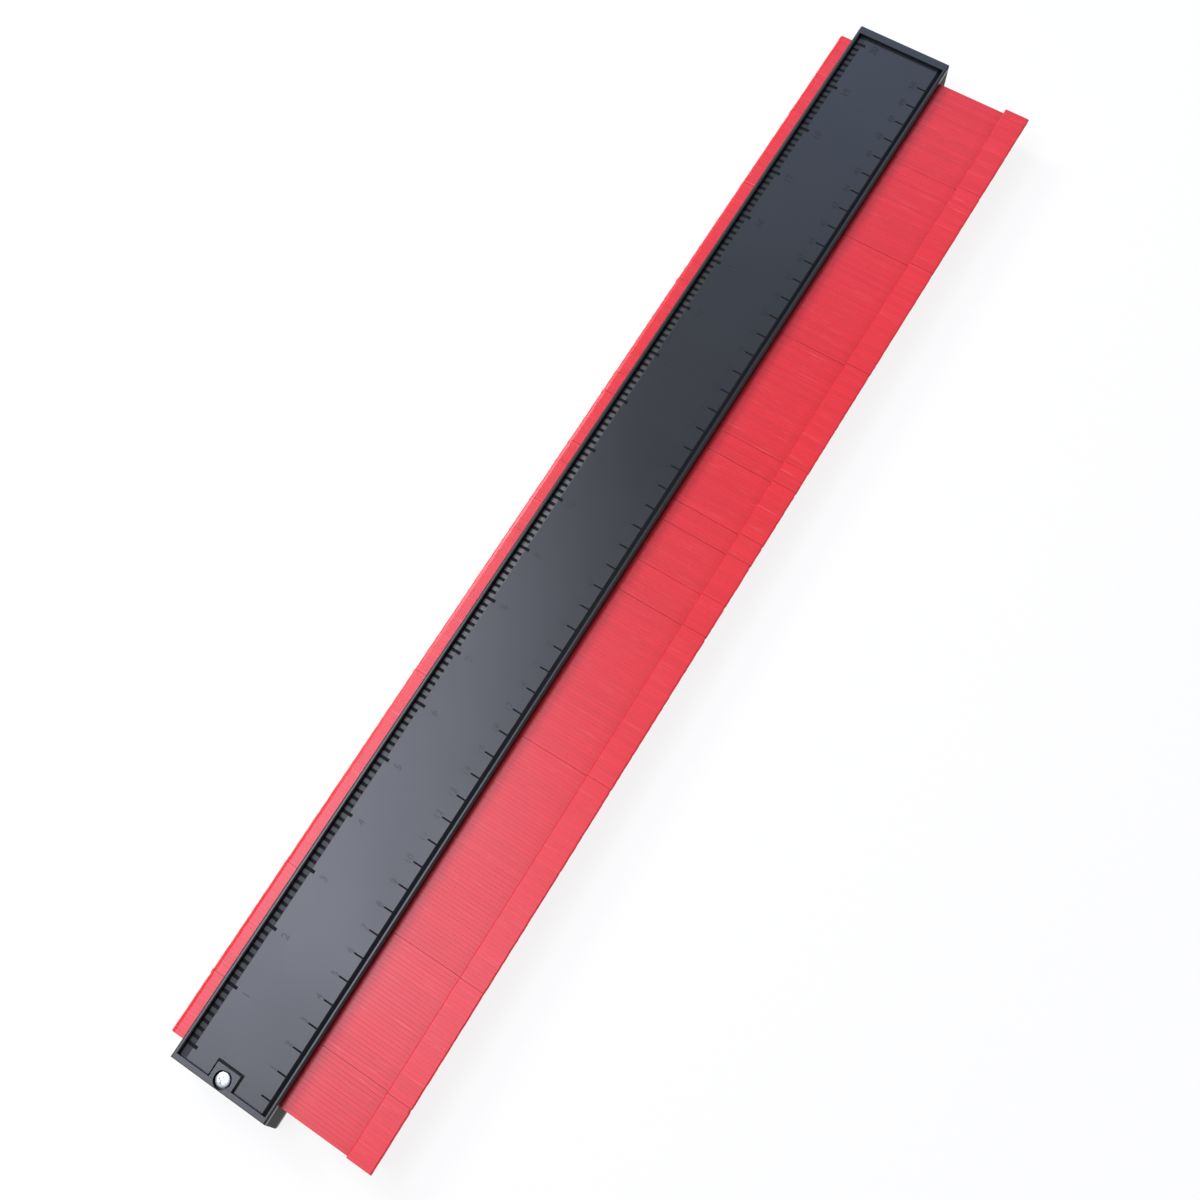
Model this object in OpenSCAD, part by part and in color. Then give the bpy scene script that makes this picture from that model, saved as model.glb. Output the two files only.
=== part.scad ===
// Contour gauge: a row of sliding fins held by friction in a two-part ruled frame.
// X runs along the row, Y along the fins' travel and Z up, with the origin under the middle of the whole gauge.
// At rest every fin is pushed to its stop on the long side, towards -Y.

/* [Fins] */
// Sliding groups of fins in the row
group_count = 44; // [8:1:44]
// Fins in one sliding group
fins_per_group = 7; // [2:1:8]
// Thickness of one fin along the row
fin_t = 1.55; // [1:0.05:2.5]
// Free gap between neighbouring fins
fin_gap = 0.105; // [0.05:0.005:0.3]
// Height of the fin's bar, which slides in the frame
fin_bar_h = 12; // [8:0.5:16]
// Distance that a fin slides from one stop to the other
fin_travel = 31.3; // [10:0.1:60]
// Length of the tall head on the long side
long_head_l = 11.3; // [6:0.1:20]
// Drop from the frame's rim to the top of the tall head
long_head_drop = 2; // [0.3:0.1:3]
// Corner radius at the tip of the tall head
long_head_r = 0.6; // [0.2:0.1:3]
// Set-back of the tall head's lower tip from its upper tip
tip_rake = 3.2; // [0:0.1:6]
// Length of the rounded head on the short side
short_head_l = 6.1; // [4:0.1:12]
// Drop from the frame's rim to the top of the rounded head
short_head_drop = 2.5; // [0.5:0.1:4]
// Corner radius at the tip of the rounded head
short_head_r = 1.8; // [0.2:0.1:3]

/* [Frame] */
// Width of the frame across the row
frame_w = 44.6; // [36:0.1:70]
// Depth of the ruler panel below the rim
recess_d = 1.5; // [0.8:0.1:3]
// Thickness of the panel over the friction strip's seat
panel_t = 2.2; // [1.2:0.1:4]
// Width of the rim along the two long edges
rim_w = 1.7; // [1:0.1:4]
// Width of the rim at the near end
near_rim_w = 2.3; // [1:0.1:6]
// Width of the rim at the far end
far_rim_w = 3.9; // [1:0.1:6]
// Distance that the foot of the near end stands out beyond its top edge
near_foot = 3.8; // [0:0.1:6]
// Corner radius of the frame seen from above
corner_r = 0.8; // [0.3:0.1:3]
// Chamfer on the outer edges of the frame
edge_c = 0.4; // [0.1:0.1:0.8]
// Bevel on the outside of the rim along the two long edges
rim_out_c = 0.7; // [0.2:0.1:0.8]
// Bevel on the inside of the rim along the two long edges
rim_in_c = 0.4; // [0.1:0.1:0.6]
// Width of the sloped moat beside the centimetre rim
moat_w = 1.8; // [0.6:0.1:3]
// Drop of the moat from the panel to the rim
moat_d = 0.9; // [0.2:0.1:1.2]

/* [Scales] */
// Width of the sloped strip that carries the inch scale
slope_w = 3.5; // [3:0.1:6]
// Drop of the sloped strip from the panel to the rim
slope_drop = 0.5; // [0.2:0.1:1.3]
// Distance from the first fin's outer face to the scales' zero
scale_start = 0.45; // [0:0.05:5]
// Depth of the engraved lines
line_d = 0.3; // [0.1:0.05:0.5]
// Width of the inch scale's lines
inch_line_w = 1.4; // [0.3:0.1:2]
// Length of the lines at each eighth of an inch
eighth_line_l = 3.3; // [1:0.1:6]
// Length of the lines at each whole inch
inch_line_l = 5; // [2:0.1:9]
// Width of the centimetre scale's lines
cm_line_w = 0.7; // [0.3:0.1:1.5]
// Length of the centimetre scale's lines
cm_line_l = 4; // [1:0.1:8]

/* [Screws] */
// Diameter of the pan head
screw_head_d = 5.8; // [4:0.1:8]
// Height of the pan head
screw_head_h = 2.2; // [1.2:0.1:4]
// Diameter of the shank
screw_d = 2.9; // [2:0.1:4]
// Length of the shank below the head
screw_l = 14; // [10:0.5:16]
// Length of each arm of the cross recess, from tip to tip
cross_l = 3.2; // [2:0.1:5]
// Width of the cross recess
cross_w = 0.9; // [0.5:0.1:1.5]
// Depth of the cross recess
cross_d = 1.1; // [0.5:0.1:1.8]
// Offset of the screws from the middle of the frame's width
screw_y = 0.5; // [-5:0.1:5]
// Drop from the rim to the top of the screw head and its boss
boss_drop = 0.3; // [0.1:0.1:1]
// Wall between the counterbore and the end of the frame
bore_wall = 0.4; // [0.3:0.1:3]
// Wall between the screw hole and the row of fins
inner_wall = 1.1; // [0.6:0.1:3]
// Wall of the boss towards the middle of the frame
boss_front = 1; // [0.5:0.1:3]
// Wall of the boss at each side
boss_side = 1.6; // [0.5:0.1:4]
// Outward slope of the boss's sides, from its top to its foot
boss_draft = 0.9; // [0.1:0.1:2]

/* [Friction strips] */
// Width of a friction strip
strip_w = 9; // [4:0.5:20]
// Depth of the seat that holds a friction strip
seat_d = 1; // [0.4:0.1:2]

/* [Clearances] */
// Gap between the fins' bars and the frame
slot_clear = 0.3; // [0.15:0.05:1]
// Gap between the fins' bars and the friction strips
strip_clear = 0.1; // [0.05:0.05:0.2]
// Gap between a fin's head and the frame at each stop
stop_clear = 0.3; // [0.15:0.05:1]
// Gap between the row and the frame at each end
end_play = 0.3; // [0.15:0.05:2]
// Gap around the screw head in its counterbore
head_clear = 0.7; // [0.1:0.05:1]
// Gap around the shank in the half under the head
hole_clear = 0.25; // [0.1:0.05:0.6]
// Gap around the shank in the half that it bites into
pilot_clear = 0.05; // [0.02:0.01:0.2]
// Gap at the sides and ends of a friction strip in its seat
seat_clear = 0.1; // [0.05:0.05:0.5]

/* [Hidden] */
function fin_group_name(g) = str("fin_group_", g < 9 ? "0" : "", g + 1);

$fn = 48;
// Overshoot of a cut beyond the face that it opens
cut = 1;
inch = 25.4;
eighth = inch / 8;
centimetre = 10;

fin_pitch = fin_t + fin_gap;
row_l = group_count * fins_per_group * fin_pitch - fin_gap;
channel_l = row_l + 2 * end_play;

bore_r = screw_head_d / 2 + head_clear;
hole_r = screw_d / 2 + hole_clear;
pilot_r = screw_d / 2 + pilot_clear;
screw_inset = bore_r + bore_wall;
end_wall = screw_inset + hole_r + inner_wall;
frame_l = channel_l + 2 * end_wall;

slot_z = fin_bar_h / 2 + slot_clear;
half_h = slot_z + seat_d + panel_t + recess_d;
panel_z = half_h - recess_d;
strip_t = seat_d + slot_clear - strip_clear;

bar_l = frame_w + 2 * stop_clear + fin_travel;
short_head_y = frame_w / 2 + stop_clear;
long_head_y = short_head_y - bar_l;
short_tip_y = short_head_y + short_head_l;
long_tip_y = long_head_y - long_head_l;

screw_x = frame_l / 2 - screw_inset;
head_seat_z = half_h - boss_drop - screw_head_h;
scale_zero = scale_start - row_l / 2;
scale_l = row_l - scale_start;

frame_black = [0.13, 0.13, 0.15];
fin_red = [0.86, 0.2, 0.24];
strip_grey = [0.36, 0.36, 0.38];

// Moves a piece from the frame's own middle to the gauge's origin
module placed() {
    translate([near_foot / 2, -(short_tip_y + long_tip_y) / 2, half_h]) children();
}

// Points on a rounded corner, from one angle to another
function arc(x, y, r, from, to, steps = 3) =
    [for (i = [0 : steps]) [x, y] + r * [cos(from + (to - from) * i / steps), sin(from + (to - from) * i / steps)]];

// A plan outline with rounded corners
module rounded_plan(x_min, x_max, w, r) {
    y = w / 2 - r;
    polygon(concat(
        arc(x_max - r, -y, r, -90, 0), arc(x_max - r, y, r, 0, 90),
        arc(x_min + r, y, r, 90, 180), arc(x_min + r, -y, r, 180, 270)
    ));
}

// Cross-section of one half over the row, from the slot to the rim, with all outer edges chamfered
module cover_section() {
    y = frame_w / 2;
    polygon([
        [-y, slot_z + edge_c], [-y + edge_c, slot_z], [y - edge_c, slot_z], [y, slot_z + edge_c],
        [y, half_h - rim_out_c], [y - rim_out_c, half_h], [-y + rim_out_c, half_h], [-y, half_h - rim_out_c]
    ]);
}

// Cross-section of the ruler recess: the moat, the flat panel and the sloped strip of the inch scale
module recess_section() {
    moat_y = rim_w - frame_w / 2;
    slope_y = frame_w / 2 - rim_w;
    polygon([
        [moat_y - rim_in_c - cut, half_h + cut], [moat_y, half_h - rim_in_c], [moat_y, panel_z - moat_d],
        [moat_y + moat_w, panel_z], [slope_y - slope_w, panel_z], [slope_y, panel_z - slope_drop],
        [slope_y, half_h - rim_in_c], [slope_y + rim_in_c + cut, half_h + cut]
    ]);
}

// Lengthwise outline of one half: the two end walls under the cover, with a near end that leans out to its foot
module side_outline(near_low, near_high) {
    far = frame_l / 2;
    near = -frame_l / 2;
    wall = channel_l / 2;
    polygon([
        [near - near_low, 0], [-wall, 0], [-wall, slot_z], [wall, slot_z], [wall, 0], [far - edge_c, 0],
        [far, edge_c], [far, half_h - edge_c], [far - edge_c, half_h],
        [near - near_high + edge_c, half_h], [near - near_high, half_h - edge_c]
    ]);
}

// Extrudes a section that is drawn in Y and Z along X
module along_x(x_min, x_max) {
    translate([x_min, 0, 0]) rotate([90, 0, 90]) linear_extrude(x_max - x_min) children();
}

// Extrudes an outline that is drawn in X and Z across the frame's width
module across_y(w) {
    translate([0, w / 2, 0]) rotate([90, 0, 0]) linear_extrude(w) children();
}

// Height of the ruler's face at a distance inwards from the inch scale's rim
function ruler_z(d) = panel_z - slope_drop * max(0, 1 - d / slope_w);

// Cross-section of one engraved line of the inch scale, which follows the sloped strip
module inch_line_section(l) {
    y = frame_w / 2 - rim_w;
    polygon(concat(
        [[y - l, half_h], [y - l, ruler_z(l) - line_d]],
        l > slope_w ? [[y - slope_w, panel_z - line_d]] : [],
        [[y, ruler_z(0) - line_d], [y, half_h]]
    ));
}

// Engraved lines of the inch scale, counted from the screw's end
module inch_lines(end) {
    for (i = [0 : floor(scale_l / eighth)]) {
        x = -end * (scale_zero + i * eighth) - inch_line_w / 2;
        along_x(x, x + inch_line_w) inch_line_section(i % 8 == 0 ? inch_line_l : eighth_line_l);
    }
}

// Engraved lines of the centimetre scale, on the panel beside the moat, counted from the screw's end
module cm_lines(end) {
    y = rim_w + moat_w - frame_w / 2;
    for (i = [0 : floor(scale_l / centimetre)])
        translate([-end * (scale_zero + i * centimetre) - cm_line_w / 2, y, panel_z - line_d])
            cube([cm_line_w, cm_line_l, recess_d]);
}

// Plan of the boss around a screw, from the end rim towards the middle, grown on its three free sides
module boss_plan(end, grow) {
    l = screw_inset + bore_r + boss_front + grow;
    w = 2 * (bore_r + boss_side + grow);
    x = end > 0 ? frame_l / 2 - l : -frame_l / 2 + edge_c;
    translate([x, screw_y - w / 2]) square([l - edge_c, w]);
}

// Raised boss in the recess around a screw, with sides that slope out to the panel
module screw_boss(end) {
    top = half_h - boss_drop;
    foot = panel_z - (panel_z - slot_z) / 4;
    grow = boss_draft * (top - foot) / (top - panel_z);
    hull() {
        translate([0, 0, top - edge_c / 4]) linear_extrude(edge_c / 4) boss_plan(end, 0);
        translate([0, 0, foot]) linear_extrude(edge_c / 4) boss_plan(end, grow);
    }
}

// Stepped hole for the screw's head and shank, open at both faces of the half
module screw_hole(end) {
    translate([end * screw_x, screw_y, 0]) {
        translate([0, 0, -cut]) cylinder(r = hole_r, h = half_h + cut);
        translate([0, 0, head_seat_z]) cylinder(r = bore_r, h = half_h);
    }
}

// Blind hole that the screw from the other half bites into
module pilot_hole(end) {
    depth = screw_l - head_seat_z + cut;
    translate([end * screw_x, screw_y, -cut]) cylinder(r = pilot_r, h = depth + cut);
}

// One half of the frame with its scales upwards; the screw goes in at the given end
module half_frame(screw_end, near_low, near_high) {
    difference() {
        union() {
            difference() {
                intersection() {
                    linear_extrude(half_h)
                        rounded_plan(-frame_l / 2 - max(near_low, near_high), frame_l / 2, frame_w, corner_r);
                    across_y(frame_w) side_outline(near_low, near_high);
                    union() {
                        along_x(-frame_l, frame_l) cover_section();
                        translate([-frame_l, -frame_w / 2, 0]) cube([2 * frame_l, frame_w, slot_z + edge_c]);
                    }
                }
                along_x(near_rim_w - frame_l / 2 - near_high, frame_l / 2 - far_rim_w) recess_section();
                inch_lines(screw_end);
                cm_lines(screw_end);
            }
            screw_boss(screw_end);
        }
        screw_hole(screw_end);
        pilot_hole(-screw_end);
        translate([-channel_l / 2, -strip_w / 2 - seat_clear, slot_z - cut])
            cube([channel_l, strip_w + 2 * seat_clear, seat_d + cut]);
    }
}

// Upper half, with its screw at the near end
module upper_frame() {
    color(frame_black) placed() half_frame(-1, near_foot / 2, 0);
}

// Lower half, turned over, with its screw at the far end
module lower_frame() {
    color(frame_black) placed() mirror([0, 0, 1]) half_frame(1, near_foot / 2, near_foot);
}

// Pan-head screw with a cross recess, its head upwards on the seat
module screw() {
    difference() {
        union() {
            translate([0, 0, -screw_l]) cylinder(d = screw_d, h = screw_l);
            cylinder(d = screw_head_d, h = screw_head_h);
        }
        for (turn = [0, 90])
            rotate(turn) translate([-cross_l / 2, -cross_w / 2, screw_head_h - cross_d])
                cube([cross_l, cross_w, cross_d + cut]);
    }
}

// The two screws that clamp the halves, one from each face
module frame_screws() {
    color("gainsboro") placed() {
        translate([-screw_x, screw_y, head_seat_z]) screw();
        translate([screw_x, screw_y, -head_seat_z]) rotate([180, 0, 0]) screw();
    }
}

// Strip of dense foam that lies in its seat and rubs on the fins
module friction_strip() {
    l = channel_l - 2 * seat_clear;
    translate([-l / 2, -strip_w / 2, fin_bar_h / 2 + strip_clear]) cube([l, strip_w, strip_t]);
}

module upper_friction_strip() {
    color(strip_grey) placed() friction_strip();
}

module lower_friction_strip() {
    color(strip_grey) placed() mirror([0, 0, 1]) friction_strip();
}

// Side view of one fin: the bar, the tall head on the long side and the rounded head on the short side
module fin_outline() {
    bar = fin_bar_h / 2;
    tall = half_h - long_head_drop;
    low = half_h - short_head_drop;
    polygon(concat(
        [[long_head_y, bar], [long_head_y, tall]],
        arc(long_tip_y + long_head_r, tall - long_head_r, long_head_r, 90, 180),
        arc(long_tip_y + tip_rake + long_head_r, long_head_r - tall, long_head_r, 180, 270),
        [[long_head_y, -tall], [long_head_y, -bar], [short_head_y, -bar], [short_head_y, -low]],
        arc(short_tip_y - short_head_r, short_head_r - low, short_head_r, 270, 360),
        arc(short_tip_y - short_head_r, low - short_head_r, short_head_r, 0, 90),
        [[short_head_y, low], [short_head_y, bar]]
    ));
}

// One sliding group of separate fins
module fin_group(g) {
    color(fin_red) placed()
        for (i = [0 : fins_per_group - 1]) {
            x = (g * fins_per_group + i) * fin_pitch - row_l / 2;
            along_x(x, x + fin_t) fin_outline();
        }
}

upper_frame();
lower_frame();
frame_screws();
upper_friction_strip();
lower_friction_strip();
for (g = [0 : group_count - 1])
    fin_group(g);
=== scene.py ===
"""Contour gauge: moulded fins, ruler figures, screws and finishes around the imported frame.

X runs along the row of fins, +Y is the way the fins slide when their long side is pushed, and Z is up.
All sizes are in metres; MM turns millimetres into metres.
"""
from __future__ import annotations

import logging
import math
from dataclasses import dataclass
from enum import Enum
from typing import Any

import bmesh
import bpy
from mathutils import Matrix, Vector

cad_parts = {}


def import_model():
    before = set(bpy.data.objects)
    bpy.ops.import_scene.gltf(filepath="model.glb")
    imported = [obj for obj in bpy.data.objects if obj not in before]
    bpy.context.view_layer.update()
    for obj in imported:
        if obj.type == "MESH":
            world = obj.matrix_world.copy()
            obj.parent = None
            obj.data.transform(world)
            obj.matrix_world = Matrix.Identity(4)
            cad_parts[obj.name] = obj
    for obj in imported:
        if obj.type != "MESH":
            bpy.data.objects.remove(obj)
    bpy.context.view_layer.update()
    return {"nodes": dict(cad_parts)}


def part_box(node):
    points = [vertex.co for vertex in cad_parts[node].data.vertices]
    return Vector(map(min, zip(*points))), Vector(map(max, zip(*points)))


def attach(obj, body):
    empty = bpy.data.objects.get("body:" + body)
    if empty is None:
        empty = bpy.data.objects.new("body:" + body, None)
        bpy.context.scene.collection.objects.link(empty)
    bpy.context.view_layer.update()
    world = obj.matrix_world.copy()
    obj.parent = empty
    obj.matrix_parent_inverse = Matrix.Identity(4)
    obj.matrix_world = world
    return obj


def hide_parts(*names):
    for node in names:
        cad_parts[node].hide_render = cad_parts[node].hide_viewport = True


LOG = logging.getLogger("contour_gauge")
MM = 0.001
INCH = 25.4 * MM
CENTIMETRE = 10 * MM
FRAME_BODY = "frame"
MIDDLE_HEIGHT = 11 * MM
FIN_TONE = "fin_tone"
# Painted shade on the fins: the bar and the corners beside the tall head are darkened
FIN_PAINTED_SHADE = "fin_painted_shade"


class Slot(Enum):
    """Names of the record's material slots for the pieces' finishes."""

    FRAME = "frame_plastic"
    FINS = "fin_plastic"
    SCREWS = "screw_steel"
    STRIPS = "strip_foam"


class Face(Enum):
    """The gauge's two ruled faces; the lower one is the upper one turned end over end."""

    UPPER = "upper"
    LOWER = "lower"


def linear(hex_colour: str) -> tuple[float, float, float, float]:
    """Turn an sRGB hex colour into linear RGBA.

    Args:
        hex_colour: six hex digits, with or without a leading hash.

    Returns:
        Linear red, green, blue and an alpha of 1.
    """
    digits = hex_colour.lstrip("#")
    channels = [int(digits[i:i + 2], 16) / 255 for i in (0, 2, 4)]
    red, green, blue = (c / 12.92 if c <= 0.04045 else ((c + 0.055) / 1.055) ** 2.4 for c in channels)
    return red, green, blue, 1.0


def add_node(
        tree: bpy.types.NodeTree, kind: str, inputs: dict[str, Any] | None = None, **settings: Any) -> Any:
    """Add a node with its settings, its input values and its links.

    Args:
        tree: the shader or geometry tree.
        kind: the node's type name.
        inputs: input name to a value, or to an output socket to link from.
        settings: properties of the node itself.

    Returns:
        The new node.
    """
    node = tree.nodes.new(kind)
    for name, value in settings.items():
        setattr(node, name, value)
    for name, value in (inputs or {}).items():
        socket = next(s for s in node.inputs if s.name == name and not s.is_unavailable)
        if isinstance(value, bpy.types.NodeSocket):
            tree.links.new(value, socket)
        else:
            socket.default_value = value
    return node


def live_output(node: Any) -> Any:
    """Return a node's first output that its settings leave in use."""
    return next(s for s in node.outputs if not s.is_unavailable)


def new_material(name: str) -> tuple[bpy.types.Material, Any, Any]:
    """Make a material with an empty tree.

    Args:
        name: the material's name.

    Returns:
        The material, its Principled shader and its Object coordinates output.
    """
    material = bpy.data.materials.new(name)
    material.use_nodes = True
    tree = material.node_tree
    tree.nodes.clear()
    shader = add_node(tree, "ShaderNodeBsdfPrincipled")
    add_node(tree, "ShaderNodeOutputMaterial", {"Surface": shader.outputs["BSDF"]})
    coordinates = add_node(tree, "ShaderNodeTexCoord")
    return material, shader, coordinates.outputs["Object"]


@dataclass(frozen=True)
class MouldedAbs:
    """Injection-moulded ABS: a dyed body under a satin skin that took its fine grain from the mould.

    The eye sees an even colour, a soft wide highlight, and slight changes of gloss where hands rubbed it.
    """

    name: str
    colour: str
    # The colour the mix goes towards: where wear patches lie, and on the fins at the lightest random tone with
    # no painted shade
    worn_colour: str
    roughness: float
    specular: float = 0.5
    # Attributes whose product drives the colour mix in place of wear patches: on the fins a random tone and
    # painted shade
    tones: tuple[str, ...] = ()
    # Painted highlights: pale streaks along Y for fins that stand a little proud and catch the light: their
    # width, their length and their strength
    streak: tuple[float, float] = (0.5 * MM, 16 * MM)
    streak_colour: str = "#F7A8AE"
    streak_strength: float = 0.0
    # The noise values between which a painted highlight streak fades in
    streak_fade: tuple[float, float] = (0.64, 0.84)
    # A smooth rim and grained side walls, by distance from the gauge's middle height, or neither
    rim_roughness: float | None = None
    rim_level: tuple[float, float] = (9.7 * MM, 10.1 * MM)
    wall_roughness: float = 0.7
    wall_level: tuple[float, float] = (7.6 * MM, 8.6 * MM)
    # ABS has an index of about 1.54
    ior: float = 1.54
    # Rubbed patches are about a hand's breadth wide
    patch: float = 60 * MM
    # The noise values between which a patch's roughness changes, and the change below and above the usual
    patch_fade: tuple[float, float] = (0.3, 0.7)
    patch_gloss: tuple[float, float] = (0.02, 0.03)
    # The mould's grain is under 0.1 mm, drawn coarser here so that it shows
    grain: float = 0.45 * MM
    grain_depth: float = 0.006 * MM
    grain_strength: float = 0.5

    def build(self) -> bpy.types.Material:
        """Make the material and return it."""
        material, shader, place = new_material(self.name)
        tree = material.node_tree
        patches = add_node(tree, "ShaderNodeTexNoise", {
            "Vector": place, "Scale": 1 / self.patch, "Detail": 3.0})
        tone = patches.outputs["Fac"]
        # On the fins the colour follows a random tone times painted shade
        if self.tones:
            stored = [add_node(tree, "ShaderNodeAttribute", attribute_name=name) for name in self.tones]
            tone = self._product(tree, [node.outputs["Fac"] for node in stored])
        colour = add_node(tree, "ShaderNodeMix", {
            "Factor": tone, "A": linear(self.colour), "B": linear(self.worn_colour)}, data_type="RGBA")
        gloss = add_node(tree, "ShaderNodeMapRange", {
            "Value": patches.outputs["Fac"],
            "From Min": self.patch_fade[0], "From Max": self.patch_fade[1],
            "To Min": self.roughness - self.patch_gloss[0], "To Max": self.roughness + self.patch_gloss[1]})
        grain = add_node(tree, "ShaderNodeTexNoise", {
            "Vector": place, "Scale": 1 / self.grain, "Detail": 2.0})
        bump = add_node(tree, "ShaderNodeBump", {
            "Height": grain.outputs["Fac"], "Strength": self.grain_strength, "Distance": self.grain_depth})
        mixed = live_output(colour)
        # Painted highlight streaks, on a material that has them
        if self.streak_strength:
            mixed = self._streaked(tree, place, mixed)
        rough = gloss.outputs["Result"]
        if self.rim_roughness is not None:
            away = self._away(tree, place)
            rough = self._by_level(tree, away, self.wall_level, self.wall_roughness, rough)
            rough = self._by_level(tree, away, self.rim_level, rough, self.rim_roughness)
        tree.links.new(mixed, shader.inputs["Base Color"])
        tree.links.new(rough, shader.inputs["Roughness"])
        tree.links.new(bump.outputs["Normal"], shader.inputs["Normal"])
        shader.inputs["IOR"].default_value = self.ior
        shader.inputs["Specular IOR Level"].default_value = self.specular
        return material

    def _streaked(self, tree: bpy.types.NodeTree, place: Any, colour: Any) -> Any:
        """Return the colour with painted highlight streaks along Y.

        Args:
            tree: the material's tree.
            place: the Object coordinates.
            colour: the colour output below the streaks.

        Returns:
            The output of the colour with its painted highlights.
        """
        across, along = self.streak
        stretched = add_node(tree, "ShaderNodeVectorMath", operation="MULTIPLY")
        tree.links.new(place, stretched.inputs[0])
        stretched.inputs[1].default_value = (1 / across, 1 / along, 1 / along)
        highlight_streaks = add_node(tree, "ShaderNodeTexNoise", {
            "Vector": stretched.outputs["Vector"], "Scale": 1.0, "Detail": 1.0})
        amount = add_node(tree, "ShaderNodeMapRange", {
            "Value": highlight_streaks.outputs["Fac"], "From Min": self.streak_fade[0], "From Max": self.streak_fade[1],
            "To Max": self.streak_strength})
        mixed = add_node(tree, "ShaderNodeMix", {
            "Factor": amount.outputs["Result"], "A": colour, "B": linear(self.streak_colour)},
            data_type="RGBA")
        return live_output(mixed)

    def _product(self, tree: bpy.types.NodeTree, factors: list[Any]) -> Any:
        """Multiply outputs together.

        Args:
            tree: the material's tree.
            factors: the outputs.

        Returns:
            The product's output.
        """
        result = factors[0]
        for factor in factors[1:]:
            step = add_node(tree, "ShaderNodeMath", operation="MULTIPLY")
            tree.links.new(result, step.inputs[0])
            tree.links.new(factor, step.inputs[1])
            result = step.outputs["Value"]
        return result

    def _away(self, tree: bpy.types.NodeTree, place: Any) -> Any:
        """Measure the distance from the gauge's middle height.

        Args:
            tree: the material's tree.
            place: the Object coordinates.

        Returns:
            The distance's output.
        """
        height = add_node(tree, "ShaderNodeSeparateXYZ", {"Vector": place}).outputs["Z"]
        level = add_node(tree, "ShaderNodeMath", operation="SUBTRACT")
        tree.links.new(height, level.inputs[0])
        level.inputs[1].default_value = MIDDLE_HEIGHT
        away = add_node(tree, "ShaderNodeMath", operation="ABSOLUTE")
        tree.links.new(level.outputs["Value"], away.inputs[0])
        return away.outputs["Value"]

    def _by_level(
            self, tree: bpy.types.NodeTree, away: Any, level: tuple[float, float], low: Any, high: Any) -> Any:
        """Return an output that goes from one value to another between two distances.

        Args:
            tree: the material's tree.
            away: the distance from the middle height.
            level: the two distances.
            low: the value, or output, below the first.
            high: the value, or output, above the second.

        Returns:
            The mixed output.
        """
        share = add_node(tree, "ShaderNodeMapRange", {
            "Value": away, "From Min": level[0], "From Max": level[1]})
        mixed = add_node(tree, "ShaderNodeMix", {
            "Factor": share.outputs["Result"], "A": low, "B": high}, data_type="FLOAT")
        return live_output(mixed)


BLACK_ABS = MouldedAbs("black_moulded_abs", "#101217", "#15181E", 0.31, specular=0.42, rim_roughness=0.3)
# The fins: a random tone and painted shade darken the red from its full colour towards the dark one
RED_ABS = MouldedAbs(
    "red_moulded_abs", "#960D17", "#E02630", 0.34, specular=0.38, tones=(FIN_TONE, FIN_PAINTED_SHADE), grain=0.3 * MM,
    # Painted highlight streaks on the fins
    streak_strength=0.2)
FIGURE_ABS = MouldedAbs("black_abs_figures", "#0E1014", "#13161B", 0.37, specular=0.38)
LINE_PAINT = MouldedAbs("matt_black_line_paint", "#07080A", "#0B0C0E", 0.75, specular=0.2, grain=0.2 * MM)


@dataclass(frozen=True)
class ZincPlate:
    """Bright zinc plating on steel: a pale, slightly blue metal with a fine bloom that softens its shine."""

    name: str = "bright_zinc_plate"
    colour: str = "#D3D6DA"
    roughness: float = 0.38
    bloom: float = 0.6 * MM
    # How much smoother and rougher the bloom makes it
    bloom_gloss: tuple[float, float] = (0.06, 0.1)

    def build(self) -> bpy.types.Material:
        """Make the material and return it."""
        material, shader, place = new_material(self.name)
        tree = material.node_tree
        bloom = add_node(tree, "ShaderNodeTexNoise", {
            "Vector": place, "Scale": 1 / self.bloom, "Detail": 3.0})
        gloss = add_node(tree, "ShaderNodeMapRange", {
            "Value": bloom.outputs["Fac"],
            "To Min": self.roughness - self.bloom_gloss[0], "To Max": self.roughness + self.bloom_gloss[1]})
        tree.links.new(gloss.outputs["Result"], shader.inputs["Roughness"])
        shader.inputs["Base Color"].default_value = linear(self.colour)
        shader.inputs["Metallic"].default_value = 1.0
        return material


@dataclass(frozen=True)
class ClosedCellFoam:
    """Dense closed-cell foam, cut in strips: dull dark grey with a skin of small pits."""

    name: str = "closed_cell_foam"
    colour: str = "#3A3B3E"
    roughness: float = 0.9
    cell: float = 0.5 * MM
    pit_depth: float = 0.1 * MM
    pit_strength: float = 0.6

    def build(self) -> bpy.types.Material:
        """Make the material and return it."""
        material, shader, place = new_material(self.name)
        tree = material.node_tree
        cells = add_node(tree, "ShaderNodeTexVoronoi", {"Vector": place, "Scale": 1 / self.cell})
        bump = add_node(tree, "ShaderNodeBump", {
            "Height": cells.outputs["Distance"], "Strength": self.pit_strength, "Distance": self.pit_depth})
        tree.links.new(bump.outputs["Normal"], shader.inputs["Normal"])
        shader.inputs["Base Color"].default_value = linear(self.colour)
        shader.inputs["Roughness"].default_value = self.roughness
        return material


def add_object(name: str, mesh: bpy.types.Mesh) -> bpy.types.Object:
    """Link a mesh to the scene as a new object at the origin.

    Args:
        name: the object's name.
        mesh: its mesh.

    Returns:
        The new object.
    """
    made = bpy.data.objects.new(name, mesh)
    bpy.context.scene.collection.objects.link(made)
    return made


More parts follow.
